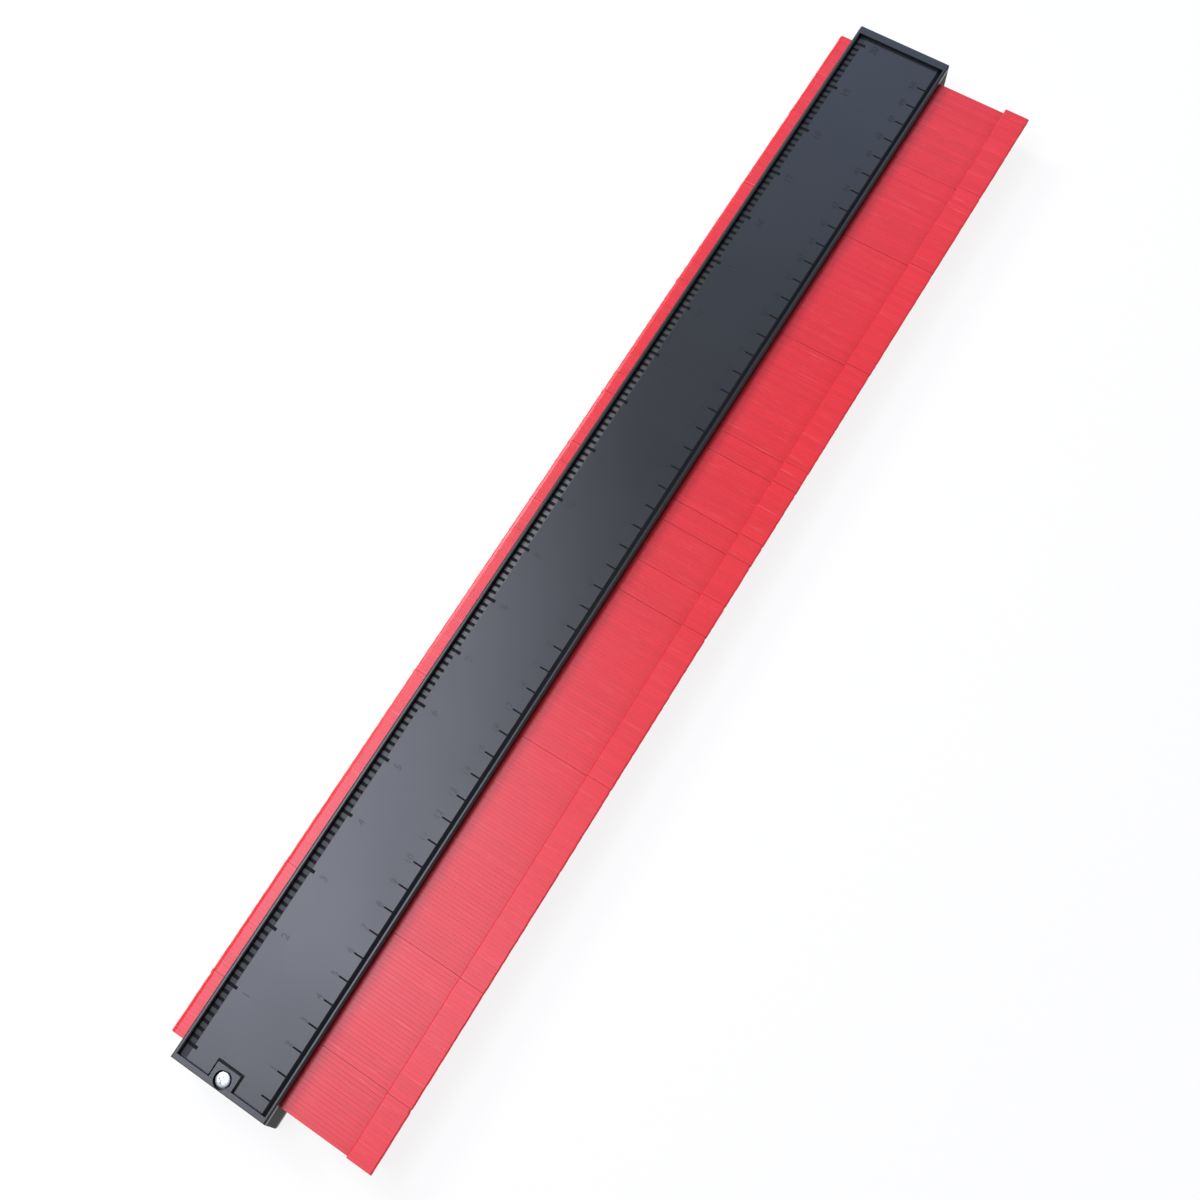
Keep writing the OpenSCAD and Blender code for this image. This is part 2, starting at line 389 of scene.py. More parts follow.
def applied(source: bpy.types.Object, name: str) -> bpy.types.Mesh:
    """Bake an object's modifiers into a plain mesh and remove the object.

    Args:
        source: the object with its modifiers.
        name: the new mesh's name.

    Returns:
        The evaluated mesh.
    """
    graph = bpy.context.evaluated_depsgraph_get()
    mesh = bpy.data.meshes.new_from_object(source.evaluated_get(graph), depsgraph=graph)
    mesh.name = name
    source.modifiers.clear()
    bpy.data.objects.remove(source)
    return mesh


def arc(centre: tuple[float, float], radius: float, start: float, end: float, steps: int) -> list[Vector]:
    """Points on a circular arc.

    Args:
        centre: the arc's centre.
        radius: its radius.
        start: the first angle, in degrees.
        end: the last angle, in degrees.
        steps: how many pieces the arc is cut into.

    Returns:
        The points, both ends included.
    """
    angles = [math.radians(start + (end - start) * i / steps) for i in range(steps + 1)]
    return [Vector((centre[0] + radius * math.cos(a), centre[1] + radius * math.sin(a))) for a in angles]


# A sharp corner of an inset outline moves in by at most the inset over this
SHARPEST_CORNER = 0.3


def inset(outline: list[Vector], distance: float) -> list[Vector]:
    """Move a counter-clockwise outline's points inwards.

    Args:
        outline: the points in order.
        distance: how far each edge moves in.

    Returns:
        The moved points, one for each given point.
    """
    moved = []
    for i, point in enumerate(outline):
        before = (point - outline[i - 1]).normalized()
        after = (outline[(i + 1) % len(outline)] - point).normalized()
        normals = Vector((-before.y, before.x)), Vector((-after.y, after.x))
        middle = (normals[0] + normals[1]).normalized()
        moved.append(point + middle * (distance / max(middle.dot(normals[0]), SHARPEST_CORNER)))
    return moved


class SpacedRow:
    """A Geometry Nodes tree that repeats one piece at even steps, each with its own small play and tone."""

    inputs: dict[str, str] = {
        "Piece": "NodeSocketGeometry", "Count": "NodeSocketInt", "Start": "NodeSocketVector",
        "Step": "NodeSocketVector", "Play": "NodeSocketVector", "Odd Share": "NodeSocketFloat",
        "Odd Shift": "NodeSocketVector", "Odd Thinning": "NodeSocketVector", "Seed": "NodeSocketInt",
        "Finish": "NodeSocketMaterial"}
    # Darkest and lightest tone of a piece
    tone_range: tuple[float, float] = (0.86, 1.0)

    def __init__(self, name: str) -> None:
        """Build the tree.

        Args:
            name: the tree's name.
        """
        self.tree = tree = bpy.data.node_groups.new(name, "GeometryNodeTree")
        tree.is_modifier = True
        for label, kind in self.inputs.items():
            tree.interface.new_socket(label, in_out="INPUT", socket_type=kind)
        tree.interface.new_socket("Row", in_out="OUTPUT", socket_type="NodeSocketGeometry")
        given = add_node(tree, "NodeGroupInput").outputs
        line = add_node(tree, "GeometryNodeMeshLine", {
            "Count": given["Count"], "Start Location": given["Start"], "Offset": given["Step"]},
            mode="OFFSET")
        odd, shift = self._shift(given)
        shifted = add_node(tree, "GeometryNodeSetPosition", {
            "Geometry": line.outputs["Mesh"], "Offset": shift})
        tone = add_node(tree, "FunctionNodeRandomValue", {
            "Min": self.tone_range[0], "Max": self.tone_range[1], "Seed": given["Seed"]}, data_type="FLOAT")
        toned = add_node(tree, "GeometryNodeStoreNamedAttribute", {
            "Geometry": shifted.outputs["Geometry"], "Name": FIN_TONE, "Value": tone.outputs[1]},
            data_type="FLOAT", domain="POINT")
        pieces = add_node(tree, "GeometryNodeInstanceOnPoints", {
            "Points": toned.outputs["Geometry"], "Instance": given["Piece"], "Scale": self._size(given, odd)})
        solid = add_node(tree, "GeometryNodeRealizeInstances", {"Geometry": pieces.outputs["Instances"]})
        dressed = add_node(tree, "GeometryNodeSetMaterial", {
            "Geometry": solid.outputs["Geometry"], "Material": given["Finish"]})
        add_node(tree, "NodeGroupOutput", {"Row": dressed.outputs["Geometry"]})
        self.names = {s.name: s.identifier for s in tree.interface.items_tree if s.in_out == "INPUT"}

    def _shift(self, given: Any) -> tuple[Any, Any]:
        """Add the nodes that move each piece.

        Args:
            given: the tree's own inputs.

        Returns:
            The output that marks the odd pieces and the output that gives every piece's shift.
        """
        tree = self.tree
        lowest = add_node(tree, "ShaderNodeVectorMath", {
            "Vector": given["Play"], "Scale": -1.0}, operation="SCALE")
        play = add_node(tree, "FunctionNodeRandomValue", {
            "Min": lowest.outputs["Vector"], "Max": given["Play"], "Seed": given["Seed"]},
            data_type="FLOAT_VECTOR")
        odd = add_node(tree, "FunctionNodeRandomValue", {
            "Probability": given["Odd Share"], "Seed": given["Seed"]}, data_type="BOOLEAN").outputs[3]
        apart = add_node(tree, "ShaderNodeVectorMath", {
            "Vector": given["Odd Shift"], "Scale": odd}, operation="SCALE")
        total = add_node(tree, "ShaderNodeVectorMath", operation="ADD")
        tree.links.new(play.outputs[0], total.inputs[0])
        tree.links.new(apart.outputs["Vector"], total.inputs[1])
        return odd, total.outputs["Vector"]

    def _size(self, given: Any, odd: Any) -> Any:
        """Add the nodes for each piece's scale: 1, less the thinning on the odd pieces.

        Args:
            given: the tree's own inputs.
            odd: the output that marks the odd pieces.

        Returns:
            The scale's output.
        """
        tree = self.tree
        less = add_node(tree, "ShaderNodeVectorMath", {
            "Vector": given["Odd Thinning"], "Scale": odd}, operation="SCALE")
        size = add_node(tree, "ShaderNodeVectorMath", operation="SUBTRACT")
        size.inputs[0].default_value = (1.0, 1.0, 1.0)
        tree.links.new(less.outputs["Vector"], size.inputs[1])
        return size.outputs["Vector"]

    def lay(self, name: str, piece: bpy.types.Mesh, values: dict[str, Any]) -> bpy.types.Mesh:
        """Lay a row of one piece.

        Args:
            name: the row's name.
            piece: the mesh that is repeated.
            values: input name to value.

        Returns:
            The whole row as one plain mesh.
        """
        source = add_object(f"{name}_source", piece)
        row = source.modifiers.new("row", "NODES")
        row.node_group = self.tree
        for label, value in values.items():
            row[self.names[label]] = value
        return applied(source, name)


def prism(name: str, outline: list[Vector], start: float, width: float, edge: float = 0.0) -> bpy.types.Mesh:
    """Extrude a Y and Z outline along X.

    Args:
        name: the mesh's name.
        outline: counter-clockwise points.
        start: the X where it starts.
        width: its length in X.
        edge: the chamfer along the edges of both end faces, or 0 for none.

    Returns:
        The closed mesh.
    """
    rings = [(start, outline), (start + width, outline)]
    if edge:
        inner = inset(outline, edge)
        rings = [
            (start, inner), (start + edge, outline), (start + width - edge, outline), (start + width, inner)]
    made = bmesh.new()
    verts = [[made.verts.new((x, p.x, p.y)) for p in ring] for x, ring in rings]
    for near, far in zip(verts, verts[1:]):
        for i in range(len(outline)):
            j = (i + 1) % len(outline)
            made.faces.new((near[i], near[j], far[j], far[i]))
    made.faces.new(list(reversed(verts[0])))
    made.faces.new(verts[-1])
    bmesh.ops.recalc_face_normals(made, faces=made.faces)
    mesh = bpy.data.meshes.new(name)
    made.to_mesh(mesh)
    made.free()
    return mesh


@dataclass
class FinRow:
    """The row of fins: its sliding groups, and one fin's profile in Y and Z."""

    group_names: list[str]
    fins_per_group: int = 7
    bar_height: float = 12 * MM
    long_head_length: float = 11.3 * MM
    long_head_corner: float = 0.6 * MM
    step_chamfer: float = 0.35 * MM
    tip_rake: float = 3.2 * MM
    short_head_length: float = 6.1 * MM
    short_head_drop: float = 0.5 * MM
    short_head_corner: float = 1.8 * MM
    # Moulded edges are almost sharp, and neighbours almost touch
    edge: float = 0.025 * MM
    gap: float = 0.016 * MM
    head_edge: float = 0.01 * MM
    head_gap: float = 0.01 * MM
    # Free play along the row, along the travel and up and down
    play: tuple[float, float, float] = (0.003 * MM, 0.06 * MM, 0.03 * MM)
    # A few fins have been nudged inwards and lie a little lower
    odd_share: float = 0.045
    odd_shift: tuple[float, float, float] = (0.0, 0.16 * MM, -0.05 * MM)
    odd_thinning: tuple[float, float, float] = (0.06, 0.0, 0.0)
    # Painted shade, as a share of the full colour: none on the heads, some on the bar for the shade that the
    # heads and frame cast, and more in the corners beside the tall head, where the step shades the bar
    head_tone: float = 1.0
    bar_tone: float = 0.88
    corner_tone: float = 0.62
    corner_width: float = 4.5 * MM
    seed: int = 11

    def __post_init__(self) -> None:
        """Read the row's pitch and the fins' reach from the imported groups."""
        self.low, self.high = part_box(self.group_names[0])
        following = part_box(self.group_names[1])[0]
        self.pitch = (following.x - self.low.x) / self.fins_per_group
        self.cad_gap = following.x - self.high.x
        self.middle_z = (self.low.z + self.high.z) / 2

    def outline(self) -> list[Vector]:
        """Draw one fin's profile.

        Returns:
            Its Y and Z points, counter-clockwise.
        """
        tall = (self.high.z - self.low.z) / 2
        short = tall - self.short_head_drop
        bar = self.bar_height / 2
        long_inner = self.low.y + self.long_head_length
        short_inner = self.high.y - self.short_head_length
        long_arc = self.low.y + self.long_head_corner
        short_arc = self.high.y - self.short_head_corner
        around_middle = [
            *arc((long_arc, tall - self.long_head_corner), self.long_head_corner, 90, 180, 2),
            *arc(
                (long_arc + self.tip_rake, self.long_head_corner - tall), self.long_head_corner, 180, 270, 2),
            Vector((long_inner - self.step_chamfer, -tall)), Vector((long_inner, self.step_chamfer - tall)),
            Vector((long_inner, -bar)), Vector((long_inner + self.corner_width, -bar)),
            Vector((short_inner, -bar)), Vector((short_inner, -short)),
            *arc((short_arc, self.short_head_corner - short), self.short_head_corner, 270, 360, 3),
            *arc((short_arc, short - self.short_head_corner), self.short_head_corner, 0, 90, 3),
            Vector((short_inner, short)), Vector((short_inner, bar)),
            Vector((long_inner + self.corner_width, bar)), Vector((long_inner, bar)),
            Vector((long_inner, tall - self.step_chamfer)), Vector((long_inner - self.step_chamfer, tall)),
        ]
        return [point + Vector((0.0, self.middle_z)) for point in around_middle]

    def on_head(self, z: float) -> bool:
        """Tell whether a height is a head's rather than the bar's."""
        return abs(z - self.middle_z) > self.bar_height / 2 + self.edge

    def zone_tone(self, y: float, z: float) -> float:
        """Find the painted shade level of a point of the fin's profile.

        Args:
            y: the point's place along the travel.
            z: its height.

        Returns:
            The painted shade level, of which 1 is the lightest and unshaded.
        """
        if self.on_head(z):
            return self.head_tone
        if y < self.low.y + self.long_head_length + self.corner_width / 2:
            return self.corner_tone
        return self.bar_tone

    def fin_mesh(self) -> bpy.types.Mesh:
        """Return one fin, with heads a little thicker than its bar and a painted shade level at each of its
        points.
        """
        mesh = prism("fin", self.outline(), (self.gap - self.cad_gap) / 2, self.pitch - self.gap, self.edge)
        middle = (self.pitch - self.cad_gap) / 2
        for vert in mesh.vertices:
            if self.on_head(vert.co.z):
                inwards = (self.pitch - self.gap) / 2 - abs(vert.co.x - middle)
                reach = (self.pitch - self.head_gap) / 2 - inwards * self.head_edge / self.edge
                vert.co.x = middle + math.copysign(reach, vert.co.x - middle)
        # Each point keeps its painted shade level, darker on the bar and in the step's corners
        shade_levels = mesh.attributes.new(FIN_PAINTED_SHADE, "FLOAT", "POINT")
        shade_levels.data.foreach_set("value", [self.zone_tone(v.co.y, v.co.z) for v in mesh.vertices])
        return mesh

    def build(self, finish: bpy.types.Material) -> list[bpy.types.Object]:
        """Make every group of fins in place of its CAD node.

        Args:
            finish: the fins' material.

        Returns:
            One object for each sliding group.
        """
        fin = self.fin_mesh()
        row = SpacedRow("fin_row")
        made = []
        for index, group in enumerate(self.group_names):
            mesh = row.lay(f"{group}_fins", fin, {
                "Count": self.fins_per_group, "Start": (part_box(group)[0].x, 0.0, 0.0),
                "Step": (self.pitch, 0.0, 0.0), "Play": self.play, "Odd Share": self.odd_share,
                "Odd Shift": self.odd_shift, "Odd Thinning": self.odd_thinning, "Seed": self.seed + index,
                "Finish": finish})
            piece = add_object(f"{group}_fins", mesh)
            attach(piece, group)
            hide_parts(group)
            made.append(piece)
        return made


@dataclass
class HalfFrame:
    """One ruled half of the frame, in its CAD shape, with figures and painted lines on its scales."""

    face: Face
    rim_top: float = 22 * MM
    panel_drop: float = 1.5 * MM
    rim_width: float = 1.7 * MM
    moat_width: float = 1.8 * MM
    slope_width: float = 3.5 * MM
    slope_drop: float = 0.5 * MM
    scale_start: float = 0.45 * MM
    line_depth: float = 0.3 * MM
    inch_line_width: float = 1.4 * MM
    eighth_line: float = 3.3 * MM
    inch_line: float = 5 * MM
    cm_line_width: float = 0.7 * MM
    cm_line: float = 4 * MM
    # The paint fills half of each engraved line and stays clear of its sides
    paint_drop: float = 0.15 * MM
    paint_margin: float = 0.02 * MM
    inch_figure_height: float = 3.2 * MM
    inch_figure_edge: float = 12.6 * MM
    cm_figure_height: float = 2.7 * MM
    cm_figure_edge: float = 8.2 * MM
    figure_rise: float = 0.08 * MM
    # Share of the font's size that a digit is high
    digit_share: float = 0.69
    inch_count: int = 20
    cm_count: int = 50

    def __post_init__(self) -> None:
        """Read the frame's edges and the scales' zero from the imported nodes."""
        self.low, self.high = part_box("upper_frame")
        self.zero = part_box("fin_group_01")[0].x + self.scale_start
        self.panel = self.rim_top - self.panel_drop

    def dress(self, node: bpy.types.Object, finish: bpy.types.Material) -> None:
        """Give the CAD half its finish."""
        node.data.materials.clear()
        node.data.materials.append(finish)

    def turned(self) -> Matrix:
        """Return the place of this face: as it stands, or turned end over end about the frame's middle."""
        if self.face is Face.UPPER:
            return Matrix.Identity(4)
        low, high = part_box("upper_friction_strip")
        middle = Vector(((low.x + high.x) / 2, 0.0, self.rim_top / 2))
        return Matrix.Translation(middle) @ Matrix.Rotation(math.pi, 4, "Y") @ Matrix.Translation(-middle)

    def ruler_z(self, inwards: float) -> float:
        """Return the ruler's height at a distance inwards from the inch scale's rim."""
        return self.panel - self.slope_drop * max(0.0, 1 - inwards / self.slope_width)

    def inch_paint(self, name: str, start: float, end: float, lap: float) -> bpy.types.Mesh:
        """Return the paint of one line of the inch scale, between two distances from the rim.

        Args:
            name: the mesh's name.
            start: the distance nearer the rim.
            end: the distance nearer the middle.
            lap: how far it stays clear of the line's end.

        Returns:
            The paint's mesh.
        """
        rim = self.high.y - self.rim_width
        stops = [end - lap, start]
        if start < self.slope_width < end:
            stops.insert(1, self.slope_width)
        floor = [Vector((rim - d, self.ruler_z(d) - self.line_depth)) for d in stops]
        top = [Vector((rim - d, self.ruler_z(d) - self.paint_drop)) for d in reversed(stops)]
        width = self.inch_line_width - 2 * self.paint_margin
        return prism(name, floor + top, -width / 2, width)

    def cm_paint(self) -> bpy.types.Mesh:
        """Return the paint of one line of the centimetre scale."""
        inner = self.low.y + self.rim_width + self.moat_width
        floor, top = self.panel - self.line_depth, self.panel - self.paint_drop
        end = inner + self.cm_line - self.paint_margin
        width = self.cm_line_width - 2 * self.paint_margin
        outline = [Vector((inner, floor)), Vector((end, floor)), Vector((end, top)), Vector((inner, top))]
        return prism("cm_paint", outline, -width / 2, width)

    def lines(self, row: SpacedRow, finish: bpy.types.Material) -> list[bpy.types.Mesh]:
        """Paint the lines of both scales.

        Args:
            row: the tree that repeats a line.
            finish: the paint.

        Returns:
            One mesh for each kind of line.
        """
        eighth = self.inch_paint("eighth", 0.0, self.eighth_line, 0.0)
        inch = self.inch_paint("inch", self.eighth_line, self.inch_line, self.paint_margin)
        kinds = {
            "eighth_lines": (eighth, 8 * self.inch_count, INCH / 8),
            "inch_lines": (inch, self.inch_count, INCH),
            "cm_lines": (self.cm_paint(), self.cm_count, CENTIMETRE)}
        made = []
        for kind, (line, count, step) in kinds.items():
            mesh = row.lay(f"{self.face.value}_{kind}", line, {
                "Count": count + 1, "Start": (self.zero, 0.0, 0.0), "Step": (step, 0.0, 0.0),
                "Finish": finish})
            mesh.transform(self.turned())
            made.append(mesh)
        return made

    def figure(self, text: str, height: float) -> bmesh.types.BMesh:
        """Make one raised figure.

        Args:
            text: the digits.
            height: the digits' height.

        Returns:
            The figure, centred in X with its foot at Y = 0 and Z = 0.
        """
        curve = bpy.data.curves.new("figure", "FONT")
        curve.body = text
        curve.align_x = "CENTER"
        curve.size = height / self.digit_share
        curve.extrude = self.figure_rise
        curve.resolution_u = 3
        holder = bpy.data.objects.new("figure", curve)
        bpy.context.scene.collection.objects.link(holder)
        mesh = applied(holder, "figure")
        made = bmesh.new()
        made.from_mesh(mesh)
        bpy.data.meshes.remove(mesh)
        return made

    def figures(self, name: str, count: int, step: float, height: float, foot_y: float) -> bpy.types.Mesh:
        """Make a whole scale's figures.

        Args:
            name: the mesh's name.
            count: the last figure.
            step: the distance from one figure to the next.
            height: the figures' height.
            foot_y: the Y of the figures' feet.

        Returns:
            All figures in one mesh.
        """
        place = self.turned()
        whole = bpy.data.meshes.new(name)
        joined = bmesh.new()
        for number in range(1, count + 1):
            part = self.figure(str(number), height)
            part.transform(place @ Matrix.Translation((self.zero + number * step, foot_y, self.panel)))
            part.to_mesh(whole)
            part.free()
            joined.from_mesh(whole)
        joined.to_mesh(whole)
        joined.free()
        return whole

    def build(
            self, row: SpacedRow, ink: bpy.types.Material, paint: bpy.types.Material) -> list[bpy.types.Object]:
        """Add both scales' figures and painted lines.

        Args:
            row: the tree that repeats a line.
            ink: the figures' finish.
            paint: the lines' finish.

        Returns:
            The new pieces.
        """
        inch_foot, cm_foot = self.high.y - self.inch_figure_edge, self.low.y + self.cm_figure_edge
        face = self.face.value
        figures = [
            self.figures(f"{face}_inch_figures", self.inch_count, INCH, self.inch_figure_height, inch_foot),
            self.figures(f"{face}_cm_figures", self.cm_count, CENTIMETRE, self.cm_figure_height, cm_foot)]
        for mesh in figures:
            mesh.materials.clear()
            mesh.materials.append(ink)
        made = []
        for mesh in [*figures, *self.lines(row, paint)]:
            piece = add_object(mesh.name, mesh)
            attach(piece, FRAME_BODY)
            made.append(piece)
        return made


@dataclass
class PanScrews:
    """The two pan-head screws with a cross recess, one from each face."""

    head_height: float = 2.2 * MM
    length: float = 14 * MM
    shank_radius: float = 1.45 * MM
    # Share of the shank's radius at its tip
    tip_share: float = 0.6
    crown: float = 0.5 * MM
    rim_corner: float = 0.25 * MM
    cross_length: float = 3.2 * MM
    cross_width: float = 0.9 * MM
    cross_depth: float = 0.7 * MM
    # Shares of the cross's size at its floor and above the head, where the cutter ends
    cross_taper: float = 0.7
    cutter_flare: float = 1.25
    # The cut leaves a few points closer together than this, which are made one
    merge_distance: float = 0.001 * MM
    steps: int = 48

    def __post_init__(self) -> None:
        """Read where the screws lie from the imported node."""
        self.low, self.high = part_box("frame_screws")
        self.head_radius = (self.high.y - self.low.y) / 2

    def profile(self) -> list[Vector]:
        """Return the lathe profile, as radius and height with the seat at 0."""
        flat = self.head_height - self.crown
        angles = [math.radians(a) for a in range(0, 91, 10)]
        dome = [
            Vector((self.head_radius * math.cos(a), flat + self.crown * math.sin(a))) for a in angles]
        return [
            Vector((0.0, -self.length)), Vector((self.shank_radius * self.tip_share, -self.length)),
            Vector((self.shank_radius, -self.length + self.shank_radius)), Vector((self.shank_radius, 0.0)),
            Vector((self.head_radius - self.rim_corner, 0.0)), Vector((self.head_radius, self.rim_corner)),
            *dome]

    def turned_mesh(self) -> bpy.types.Mesh:
        """Return one screw without its recess, head upwards on the seat."""
        made = bmesh.new()
        points = [made.verts.new((p.x, 0.0, p.y)) for p in self.profile()]
        edges = [made.edges.new(pair) for pair in zip(points, points[1:])]
        bmesh.ops.spin(
            made, geom=points + edges, axis=(0, 0, 1), cent=(0, 0, 0), angle=2 * math.pi, steps=self.steps)
        bmesh.ops.remove_doubles(made, verts=made.verts, dist=1e-7)
        bmesh.ops.recalc_face_normals(made, faces=made.faces)
        mesh = bpy.data.meshes.new("screw")
        made.to_mesh(mesh)
        made.free()
        return mesh

    def cross_mesh(self) -> bpy.types.Mesh:
        """Return the cross recess as a cutter that narrows towards its floor."""
        floor, top = self.head_height - self.cross_depth, self.head_height + self.crown
        arm, half = self.cross_length / 2, self.cross_width / 2
        corner = [Vector((arm, -half)), Vector((arm, half)), Vector((half, half))]
        outline = [Matrix.Rotation(quarter * math.pi / 2, 2) @ p for quarter in range(4) for p in corner]
        made = bmesh.new()
        rings = [
            [made.verts.new((p.x * share, p.y * share, z)) for p in outline]
            for z, share in ((floor, self.cross_taper), (top, self.cutter_flare))]
        for i in range(len(outline)):
            j = (i + 1) % len(outline)
            made.faces.new((rings[0][i], rings[0][j], rings[1][j], rings[1][i]))
        made.faces.new(list(reversed(rings[0])))
        made.faces.new(rings[1])
        bmesh.ops.recalc_face_normals(made, faces=made.faces)
        mesh = bpy.data.meshes.new("cross")
        made.to_mesh(mesh)
        made.free()
        return mesh

    def screw_mesh(self) -> bpy.types.Mesh:
        """Return one whole screw, head upwards on the seat."""
        screw, cross = add_object("screw_source", self.turned_mesh()), add_object("cross", self.cross_mesh())
        cutter = screw.modifiers.new("recess", "BOOLEAN")
        cutter.operation, cutter.solver, cutter.use_self = "DIFFERENCE", "EXACT", True
        cutter.object = cross
        mesh = applied(screw, "screw")
        bpy.data.objects.remove(cross)
        return self.in_order(mesh)

    def in_order(self, cut: bpy.types.Mesh) -> bpy.types.Mesh:
        """Sort the cut screw's points and faces, which the cut stores in another order at each run.

        Args:
            cut: the screw as the cut leaves it, which is removed.

        Returns:
            The same shape as a new mesh, in an order that repeats.
        """
        points = sorted(cut.vertices, key=lambda point: tuple(point.co))
        rank = {point.index: place for place, point in enumerate(points)}
        rings = [[rank[i] for i in face.vertices] for face in cut.polygons]
        starts = [ring.index(min(ring)) for ring in rings]
        rings = sorted(ring[start:] + ring[:start] for ring, start in zip(rings, starts))
        mesh = bpy.data.meshes.new("screw")
        mesh.from_pydata([tuple(point.co) for point in points], [], rings)
        bpy.data.meshes.remove(cut)
        return mesh

    def build(self, finish: bpy.types.Material) -> bpy.types.Object:
        """Make both screws in place of their CAD node.

        Args:
            finish: the screws' material.

        Returns:
            Both screws as one piece.
        """
        one = self.screw_mesh()
        across = (self.low.y + self.high.y) / 2
        seat = Vector((self.low.x + self.head_radius, across, self.high.z - self.head_height))
        near = Matrix.Translation(seat)
        seat = Vector((self.high.x - self.head_radius, across, self.low.z + self.head_height))
        far = Matrix.Translation(seat) @ Matrix.Rotation(math.pi, 4, "X")
        whole = bmesh.new()
        for place in (near, far):
            copy = one.copy()
            copy.transform(place)
            whole.from_mesh(copy)
            bpy.data.meshes.remove(copy)
        bmesh.ops.remove_doubles(whole, verts=whole.verts, dist=self.merge_distance)
        mesh = bpy.data.meshes.new("frame_pan_screws")
        whole.to_mesh(mesh)
        whole.free()
        for polygon in mesh.polygons:
            polygon.use_smooth = False
        mesh.materials.clear()
        mesh.materials.append(finish)
        piece = add_object("frame_pan_screws", mesh)
        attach(piece, FRAME_BODY)
        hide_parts("frame_screws")
        return piece


@dataclass(frozen=True)
class Softbox:
    """A rectangular area lamp that faces a point."""

    name: str
    place: tuple[float, float, float]
    aim: tuple[float, float, float]
    width: float
    depth: float
    power: float
    colour: str = "#FFFFFF"

    def build(self) -> bpy.types.Object:
        """Make the lamp and return it."""
        lamp = bpy.data.lights.new(self.name, "AREA")
        lamp.shape, lamp.size, lamp.size_y, lamp.energy = "RECTANGLE", self.width, self.depth, self.power
        lamp.color = linear(self.colour)[:3]
        made = bpy.data.objects.new(self.name, lamp)
        made.location = self.place
        made.rotation_euler = (Vector(self.aim) - Vector(self.place)).to_track_quat("-Z", "Y").to_euler()
        bpy.context.scene.collection.objects.link(made)
        return made


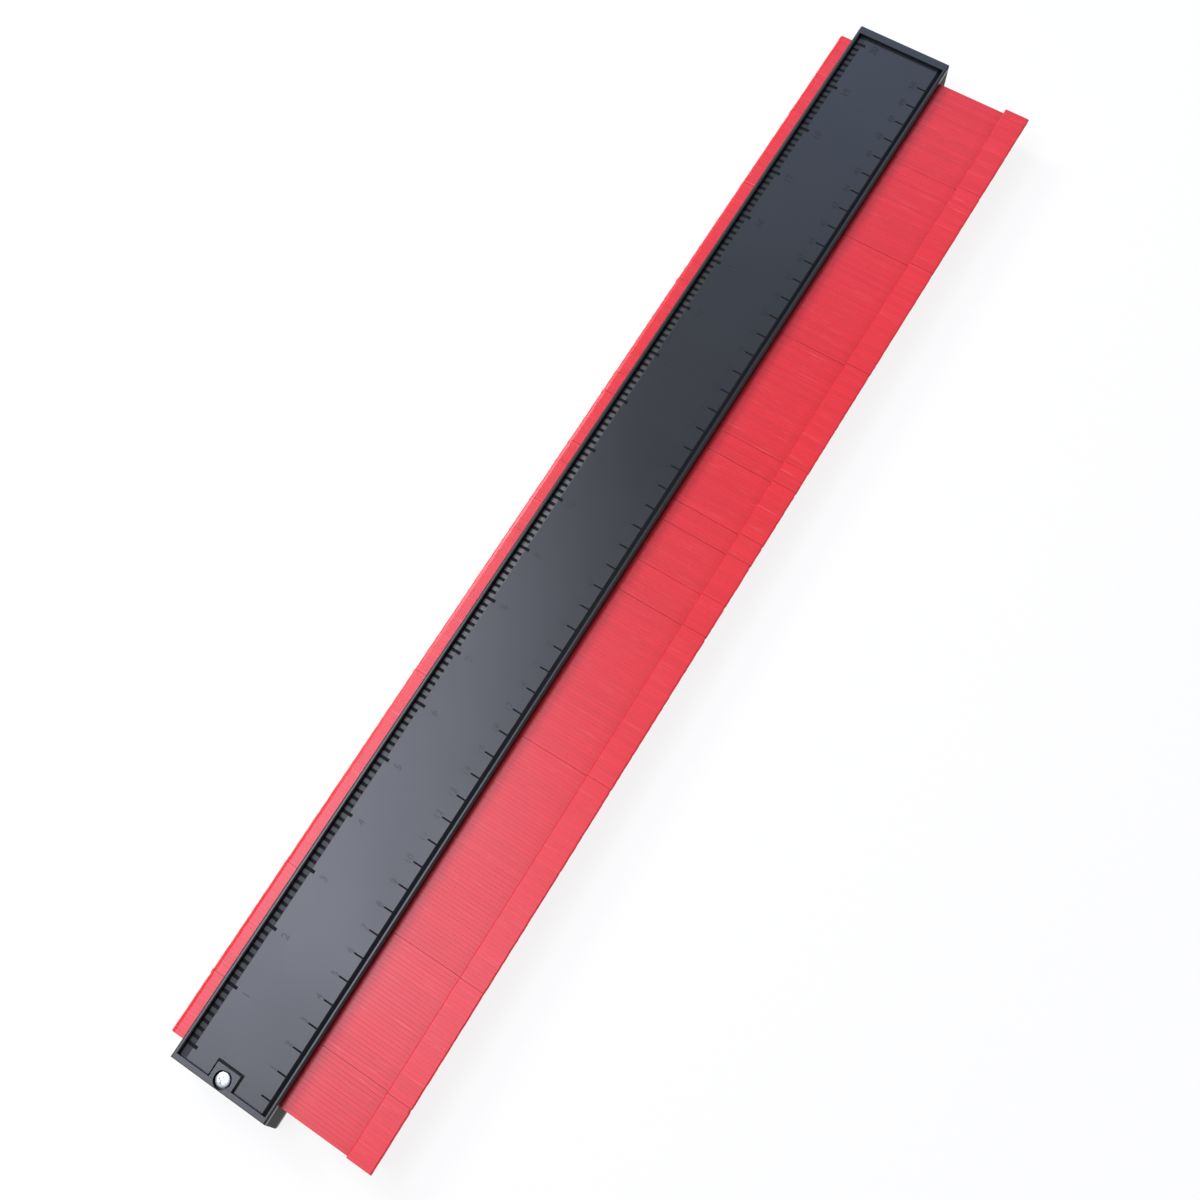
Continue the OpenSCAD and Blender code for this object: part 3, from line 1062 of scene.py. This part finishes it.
@dataclass
class Studio:
    """The pale floor, the soft light and the camera at the photograph's viewing angle."""

    lens_mm: float = 39.9
    camera_place: tuple[float, float, float] = (-0.13526, -0.1181, 0.53201)
    camera_aim: tuple[float, float, float] = (-0.02703, -0.00264, 0.022)
    camera_up: tuple[float, float, float] = (0.822, 0.4925, 0.2859)
    floor_half: float = 12.0
    wall_height: float = 3.4
    floor_colour: str = "#F4F4F4"
    floor_glow: float = 0.86
    sky_colour: str = "#FFFFFF"
    sky_strength: float = 0.31
    lamps: tuple[Softbox, ...] = (
        Softbox("overhead_softbox", (-0.34, 0.36, 1.2), (-0.2, 0.2, 0.0), 0.46, 0.5, 6.6, "#E9EBFF"),
        Softbox("middle_softbox", (0.07, 0.56, 1.2), (0.0, 0.2, 0.0), 0.4, 0.36, 3.9, "#E4E8FF"),
        Softbox("ceiling_panel", (0.1, 0.6, 2.2), (0.1, 0.4, 0.0), 2.8, 1.6, 4.0, "#E6F0FF"),
        Softbox("far_softbox", (1.15, 0.38, 1.2), (0.2, 0.0, 0.0), 0.7, 0.6, 3.3, "#C4DAFF"),
        Softbox("side_key", (0.35, 1.25, 1.15), (0.0, 0.0, 0.0), 0.36, 0.36, 13.2),
        Softbox("strip_lamp", (0.52, 0.85, 1.2), (0.1, 0.0, 0.0), 0.45, 0.3, 1.0),
    )

    def camera(self) -> bpy.types.Object:
        """Make the camera, set it as the scene's own and return it."""
        data = bpy.data.cameras.new("camera")
        data.lens, data.sensor_width, data.clip_start = self.lens_mm, 36.0, 0.01
        made = bpy.data.objects.new("camera", data)
        back = (Vector(self.camera_place) - Vector(self.camera_aim)).normalized()
        right = Vector(self.camera_up).cross(back).normalized()
        axes = Matrix((right, back.cross(right), back)).transposed().to_4x4()
        made.matrix_world = Matrix.Translation(self.camera_place) @ axes
        bpy.context.scene.collection.objects.link(made)
        bpy.context.scene.camera = made
        return made

    def seen_white(self, tree: bpy.types.NodeTree) -> Any:
        """Tell the rays that show the background from those that only light the scene.

        Args:
            tree: the material's tree.

        Returns:
            An output that is 1 for the rays that show the background.
        """
        rays = add_node(tree, "ShaderNodeLightPath").outputs
        total = add_node(tree, "ShaderNodeMath", {}, operation="MAXIMUM")
        mirrored = add_node(tree, "ShaderNodeMath", {}, operation="MAXIMUM")
        tree.links.new(rays["Is Glossy Ray"], mirrored.inputs[0])
        tree.links.new(rays["Is Transmission Ray"], mirrored.inputs[1])
        tree.links.new(rays["Is Camera Ray"], total.inputs[0])
        tree.links.new(mirrored.outputs["Value"], total.inputs[1])
        return total.outputs["Value"]

    def world(self) -> None:
        """Light the scene evenly from all round."""
        world = bpy.data.worlds.new("studio")
        world.use_nodes = True
        tree = world.node_tree
        tree.nodes.clear()
        sky = add_node(tree, "ShaderNodeBackground", {
            "Color": linear(self.sky_colour), "Strength": self.sky_strength})
        add_node(tree, "ShaderNodeOutputWorld", {"Surface": sky.outputs["Background"]})
        bpy.context.scene.world = world

    def floor(self) -> bpy.types.Object:
        """Lay the pale floor under the gauge, with far walls that close the view, and return it."""
        half = self.floor_half
        mesh = bpy.data.meshes.new("floor")
        corners = [(-half, -half), (half, -half), (half, half), (-half, half)]
        points = [(x, y, z) for z in (0.0, self.wall_height) for x, y in corners]
        count = len(corners)
        walls = [(i, (i + 1) % count, (i + 1) % count + count, i + count) for i in range(count)]
        mesh.from_pydata(points, [], [tuple(range(count)), *walls])
        material = bpy.data.materials.new("pale_floor")
        material.use_nodes = True
        tree = material.node_tree
        tree.nodes.clear()
        matt = add_node(tree, "ShaderNodeBsdfDiffuse", {"Color": linear(self.floor_colour)})
        glow = add_node(tree, "ShaderNodeEmission", {"Color": linear("#FFFFFF"), "Strength": 1.0})
        share = add_node(tree, "ShaderNodeMath", {}, operation="MULTIPLY")
        tree.links.new(self.seen_white(tree), share.inputs[0])
        share.inputs[1].default_value = self.floor_glow
        mixed = add_node(tree, "ShaderNodeMixShader", {"Fac": share.outputs["Value"]})
        tree.links.new(matt.outputs["BSDF"], mixed.inputs[1])
        tree.links.new(glow.outputs["Emission"], mixed.inputs[2])
        add_node(tree, "ShaderNodeOutputMaterial", {"Surface": mixed.outputs["Shader"]})
        mesh.materials.append(material)
        made = add_object("floor", mesh)
        return made

    def build(self) -> None:
        """Set up the camera, the lamps, the world and the floor."""
        bpy.context.scene.view_settings.view_transform = "Standard"
        self.camera()
        self.world()
        self.floor()
        for lamp in self.lamps:
            lamp.build()


def main() -> None:
    """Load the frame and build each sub-assembly in order."""
    logging.basicConfig(level=logging.INFO, format="%(name)s: %(message)s")
    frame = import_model()
    Studio().build()
    black, ink, paint = BLACK_ABS.build(), FIGURE_ABS.build(), LINE_PAINT.build()
    line_row = SpacedRow("line_row")
    for face in Face:
        half = HalfFrame(face)
        half.dress(frame["nodes"][f"{face.value}_frame"], black)
        for piece in half.build(line_row, ink, paint):
            LOG.info("%s: %d faces", piece.name, len(piece.data.polygons))
    foam = ClosedCellFoam().build()
    for face in Face:
        strip = frame["nodes"][f"{face.value}_friction_strip"]
        strip.data.materials.clear()
        strip.data.materials.append(foam)
    screws = PanScrews().build(ZincPlate().build())
    LOG.info("%s: %d faces", screws.name, len(screws.data.polygons))
    groups = sorted(n for n in frame["nodes"] if n.startswith("fin_group_"))
    for piece in FinRow(groups).build(RED_ABS.build()):
        LOG.info("%s: %d faces", piece.name, len(piece.data.polygons))


if __name__ == "__main__":
    main()
